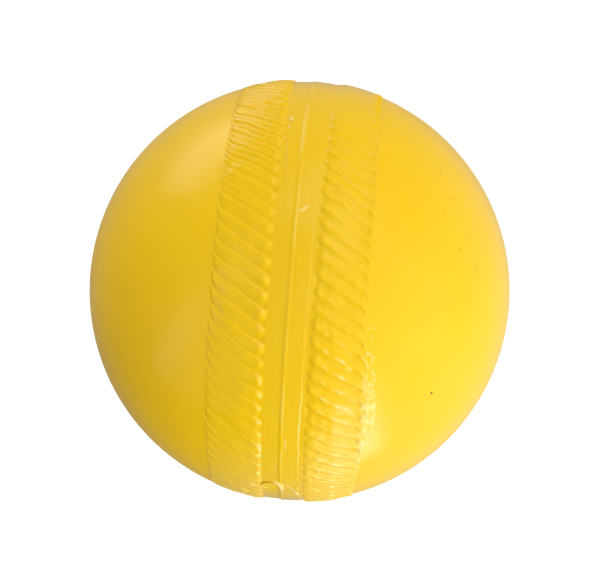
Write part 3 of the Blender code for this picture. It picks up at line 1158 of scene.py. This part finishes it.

# %% [markdown]
# The weld bead
# Where the halves met hot, a thread of plastic was squeezed out and trimmed. It is a thin ring with a
# rounded top that laps over both strips, turned like the shells. Noise then moves its top sideways and up,
# and paints a highlight in pale yellow on parts of its crest. A profile row holds the place along the axis
# and the height over the right or the left strip, in mm.

# %% Weld bead
WELD_STEM = 0.1 * MM
WELD_STEPS = 720
WELD_RIGHT_MM = (
    (0.1, 0.004), (0.4, 0.004), (0.32, 0.025), (0.22, 0.05), (0.1, 0.06), (0.0, 0.045), (-0.1, 0.0),
)
WELD_LEFT_MM = ((-0.22, 0.045), (-0.4, 0.004), (-0.1, 0.004))
WELD_TOP = 0.03 * MM
WELD_CREST = 0.14 * MM
WELD_CREST_WIDTH = 0.12 * MM
WELD_GLINT_TURN = (0.1, 0.35, 2.6, 3.0)
WELD_PAINTED_GLINT = (0.1, 0.5, 0.3)
WELD_GLINT_SIZE = MM / 0.18
WELD_WANDER = 0.06 * MM
WELD_WANDER_SIZE = MM / 0.26
WELD_FINE_SIZE = MM / 0.9
WELD_FINE_SHARE = 0.5
WELD_RISE = 0.035 * MM
WELD_RISE_SIZE = 2.0 * MM
WELD_RISE_LEAST = -0.3

weld_finish = polished("weld_finish", 0.6, 0.012)
weld_profile = [(-WELD_STEM, SOCKET_RADIUS), (WELD_STEM, SOCKET_RADIUS)]
weld_profile += [(along * MM, right_strip_radius + rise * MM) for along, rise in WELD_RIGHT_MM]
weld_profile += [(along * MM, left_strip_radius + rise * MM) for along, rise in WELD_LEFT_MM]
weld = turned("weld", weld_profile, Vector((1, 0, 0)), WELD_STEPS, True, weld_finish)
pale_and_painted_glint = weld.data.attributes.new("pale_and_painted_glint", "FLOAT", "POINT")
for vert in weld.data.vertices:
    if vert.co.yz.length > left_strip_radius + WELD_TOP:
        wander = noise.noise(vert.co / WELD_WANDER_SIZE)
        wander += WELD_FINE_SHARE * noise.noise(vert.co / WELD_FINE_SIZE)
        near_crest = math.exp(-(((vert.co.x - WELD_CREST) / WELD_CREST_WIDTH) ** 2))
        middle, swing, most = WELD_PAINTED_GLINT
        # Painted highlight: the crest's colour is whitened in patches where light would glint on it.
        white = min(max(middle + swing * noise.noise(vert.co / WELD_GLINT_SIZE), 0), most)
        pale_and_painted_glint.data[vert.index].value = within(turn_of(vert.co), WELD_GLINT_TURN) * near_crest * white
        vert.co.x += WELD_WANDER * wander
        rise = WELD_RISE * max(noise.noise(vert.co / WELD_RISE_SIZE), WELD_RISE_LEAST)
        vert.co.yz *= 1 + rise / BALL_RADIUS
print(f"weld bead with {len(weld.data.polygons)} faces")

# %% [markdown]
# Flash along the seam
# Trimming left slivers and crumbs of flash in the channel and a crescent round the plug. Each is a small
# pointed ridge along a bent line from one pixel to another, as a curve with a taper would be, but its
# foot follows the strip under it. Each is whitened by a painted glint, and the crescent carries the painted
# highlight of the plug's rim. A row holds the start, the bend and the end of the line in pixels, the
# width and height in mm, and the strength of the painted glint.

# %% Flash ridges
FLASH_STEPS = 12
FLASH_TIP = 0.08
FLASH_TOP_SHARE = 0.6
FLASH_WANDER = 0.5
FLASH_WANDER_SIZE = 0.4 * MM
FLASH_LOOK_AHEAD = 0.1
WELD_CORNER_ANGLE = math.radians(50)
FLASH_PX = (
    ((297, 212), (303, 210), (310, 204), 0.6, 0.1, 0.45),
    ((291, 121), (291, 118), (293, 115), 0.7, 0.16, 0.45),
    ((289, 128), (289, 126), (290, 124), 0.4, 0.08, 0.45),
    ((303, 147), (303, 143), (304, 138), 0.4, 0.1, 0.2),
    ((283, 484), (289, 487), (296, 492), 0.2, 0.05, 0.75),
    ((294, 491), (296, 493), (299, 494), 0.6, 0.16, 0.75),
    ((268, 407), (269, 406), (270, 405), 0.12, 0.03, 0.75),
    ((272, 413), (272, 411), (273, 410), 0.1, 0.02, 0.75),
    # The crescent round the plug, whitened as the painted highlight of the plug's rim.
    ((270, 483), (284, 482), (282, 495), 0.75, 0.28, 0.75),
    ((281, 425), (280, 440), (279, 456), 0.2, 0.04, 0.75),
    ((285, 436), (285, 444), (285, 453), 0.16, 0.04, 0.75),
    ((288.5, 128), (286.5, 150), (284.5, 186), 0.1, 0.03, 0.45),
    ((276.5, 457), (275.5, 467), (275, 477), 0.12, 0.02, 0.3),
    ((281.5, 460), (280.5, 468), (280, 476), 0.1, 0.02, 0.3),
)


def bent(start, bend, end, share):
    """The place and the course, in pixels, at a share of a bent line."""
    weights = ((1 - share) ** 2, 2 * share * (1 - share), share**2)
    pairs = list(zip(start, bend, end))
    spot = [sum(weight * place for weight, place in zip(weights, pair)) for pair in pairs]
    course = [(1 - share) * (middle - first) + share * (last - middle) for first, middle, last in pairs]
    return spot, course


def flash_foot(point):
    """The foot of a ridge and the way up from it: on a strip of the channel, or on the right cap."""
    if point.x > BAND_INNER[RIGHT]:
        return point, point.normalized()
    up = Vector((0, point.y, point.z)).normalized()
    return up * (left_strip_radius if point.x < 0 else right_strip_radius) + seam_axis * point.x, up


def add_flash(shape, pale_and_painted_glint, start, bend, end, width_mm, height_mm, white):
    """A pointed ridge along a bent line of pixels, standing on the surface under it."""
    rings = []
    for step in range(FLASH_STEPS + 1):
        share = step / FLASH_STEPS
        taper = max(math.sin(math.pi * share), FLASH_TIP)
        spot, course = bent(start, bend, end, share)
        point = under_pixel(*spot)
        foot, up = flash_foot(point)
        next_spot = [place + FLASH_LOOK_AHEAD * move for place, move in zip(spot, course)]
        aside = up.cross(under_pixel(*next_spot) - point).normalized() * (width_mm * MM / 2 * taper)
        wander = 1 + FLASH_WANDER * noise.noise(point / FLASH_WANDER_SIZE)
        top = foot + up * (height_mm * MM * taper * wander)
        narrow = aside * FLASH_TOP_SHARE
        corners = (foot - aside, foot + aside, top + narrow, top - narrow)
        rings.append([shape.verts.new(corner) for corner in corners])
    for ring, next_ring in zip(rings, rings[1:]):
        for corner in range(4):
            beyond = (corner + 1) % 4
            shape.faces.new((ring[corner], ring[beyond], next_ring[beyond], next_ring[corner]))
    shape.faces.new(rings[0])
    shape.faces.new(rings[-1][::-1])
    for vert in sum(rings, []):
        # The whole ridge gets one strength of painted glint.
        vert[pale_and_painted_glint] = white


shape = bmesh.new()
shape.from_mesh(weld.data)
pale_and_painted_glint = shape.verts.layers.float["pale_and_painted_glint"]
for row in FLASH_PX:
    add_flash(shape, pale_and_painted_glint, *row)
bmesh.ops.recalc_face_normals(shape, faces=shape.faces)
shape.to_mesh(weld.data)
shape.free()
weld.data.shade_smooth()
weld.data.set_sharp_from_angle(angle=WELD_CORNER_ANGLE)
stands_for(weld, "weld_bead")

# %% [markdown]
# Lacy flash beside the right band
# Low down, a thin skin of plastic crept out between band and cap and tore into lace. A sheet full of holes
# would need many small edges, so the skin is whole, and noise lifts it out of the cap in places: only
# those show. There it is whitened, partly as thin torn plastic is and partly by painted glints of the light
# on it. It thins out upward, and so does its whitening. A noise row holds its share, its features per
# radian, their length across and a seed.

# %% Lacy skin
# A sliver of flash at the band's edge, whitened by a painted glint.
EDGE_FLASH_PX = ((368, 353), (372, 356), (377, 359), 0.3, 0.03, 0.4)
SKIN_TURN = (0.3, 0.4, 0.9, 1.0)
SKIN_THIN_TURN = (0.5, 0.95)
SKIN_EDGE = (-0.2 * MM, 2.0 * MM)
SKIN_FADE = (0.95 * MM, 1.85 * MM)
SKIN_TURN_STEPS = 130
SKIN_EDGE_STEPS = 46
SKIN_RISE = 0.12 * MM
SKIN_DEPTH = 0.05 * MM
SKIN_SINK = 0.14
LACE = ((1.0, 26, 0.55 * MM, 1), (0.6, 60, 0.35 * MM, 4))
LACE_LEVEL = 0.5
LACE_SWING = 0.9
LACE_THINNING = 0.8
LACE_WHITE_AND_GLINT = (0.3, 0.7, 0.9)
LACE_GLINT_FADING = 0.7


def lace(turn, edge):
    """How far the skin's noise stands out here, around 0."""
    ragged = 0
    for share, per_radian, length, seed in LACE:
        ragged += share * noise.noise((turn * per_radian, edge / length, seed))
    return ragged


def skin_line(shape, pale_and_painted_glint, turn):
    """One line of the skin's top and one of its underside, across the skin."""
    thin = smooth_step(*SKIN_THIN_TURN, turn)
    middle, swing, most = LACE_WHITE_AND_GLINT
    top = []
    bottom = []
    for step in range(SKIN_EDGE_STEPS + 1):
        away = SKIN_EDGE[0] + (SKIN_EDGE[1] - SKIN_EDGE[0]) * step / SKIN_EDGE_STEPS
        edge = BAND_OUTER + spill(turn) + away
        ragged = lace(turn, edge)
        cover = within(turn, SKIN_TURN) * (1 - smooth_step(*SKIN_FADE, away))
        shown = cover * (LACE_LEVEL + LACE_SWING * ragged - LACE_THINNING * thin) - SKIN_SINK
        for line, height in ((top, max(SKIN_RISE * shown, -SKIN_DEPTH / 2)), (bottom, -SKIN_DEPTH)):
            along, radius = on_ball(BALL_RADIUS + height, edge)
            vert = shape.verts.new((along, -radius * math.cos(turn), radius * math.sin(turn)))
            # Whitening of the lace: partly thin torn plastic, partly painted glints, fading upward.
            vert[pale_and_painted_glint] = min(max(middle + swing * ragged, 0), most) * (1 - LACE_GLINT_FADING * thin)
            line.append(vert)
    return top, bottom


def add_strip(shape, line, next_line):
    """A row of faces between two lines of points."""
    for step in range(len(line) - 1):
        shape.faces.new((line[step], line[step + 1], next_line[step + 1], next_line[step]))


def add_skin(shape, pale_and_painted_glint):
    """The whole skin: a top sheet, a bottom sheet, and a rim that joins them."""
    first, last = SKIN_TURN[0], SKIN_TURN[-1]
    turns = [first + (last - first) * step / SKIN_TURN_STEPS for step in range(SKIN_TURN_STEPS + 1)]
    top, bottom = zip(*(skin_line(shape, pale_and_painted_glint, turn) for turn in turns))
    for sheet in (top, bottom):
        for line, next_line in zip(sheet, sheet[1:]):
            add_strip(shape, line, next_line)
    for end in (0, -1):
        add_strip(shape, top[end], bottom[end])
        add_strip(shape, [line[end] for line in top], [line[end] for line in bottom])


shape = bmesh.new()
shape.from_mesh(bands[RIGHT].data)
pale_and_painted_glint = shape.verts.layers.float["pale_and_painted_glint"]
band_faces = len(shape.faces)
add_flash(shape, pale_and_painted_glint, *EDGE_FLASH_PX)
add_skin(shape, pale_and_painted_glint)
shape.faces.ensure_lookup_table()
for face in shape.faces[band_faces:]:
    face.material_index = shape.faces[0].material_index
    face.smooth = True
bmesh.ops.recalc_face_normals(shape, faces=shape.faces[band_faces:])
print(f"{len(shape.faces) - band_faces} faces of flash beside the right band")
shape.to_mesh(bands[RIGHT].data)
shape.free()

# %% [markdown]
# The vent plug
# A small disc with a raised rim closes the hole that let the air out while the halves were welded. It is
# turned about its own axis, which points forward, and moved into the left strip. A profile row holds the
# height over the plug's top in mm and a share of its radius.

# %% Vent plug
PLUG_RADIUS = 1.5 * MM
PLUG_PLACE = -1.55 * MM
PLUG_TOP = left_strip_radius + 0.02 * MM
PLUG_STEPS = 48
PLUG_STEM_SHARE = 0.5
PLUG_HEAD = (
    (0.0, 0.0), (0.01, 0.45), (0.0, 0.72), (0.1, 0.82), (0.13, 0.9), (0.09, 0.97), (0.0, 1.0),
    (-0.015, 1.0), (-0.015, PLUG_STEM_SHARE),
)

plug_finish = polished("plug_finish", 0.8, 0.01)
plug_back = -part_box("vent_plug")[1].y
plug_profile = [(PLUG_TOP + rise * MM, PLUG_RADIUS * share) for rise, share in PLUG_HEAD]
plug_profile += [(plug_back, PLUG_RADIUS * PLUG_STEM_SHARE), (plug_back, 0)]
plug = turned("plug", plug_profile, Vector((0, -1, 0)), PLUG_STEPS, False, plug_finish)
plug.data.transform(Matrix.Translation((PLUG_PLACE, 0, 0)))
stands_for(plug, "vent_plug")

# %% [markdown]
# Finish
# The pieces are meant to keep the size of the solids, so both boxes are printed: the CAD box at the
# start and the visual box here.

# %% Sizes and finish
low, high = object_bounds()
print(f"visual box {[round(length / MM, 2) for length in high - low]} mm")
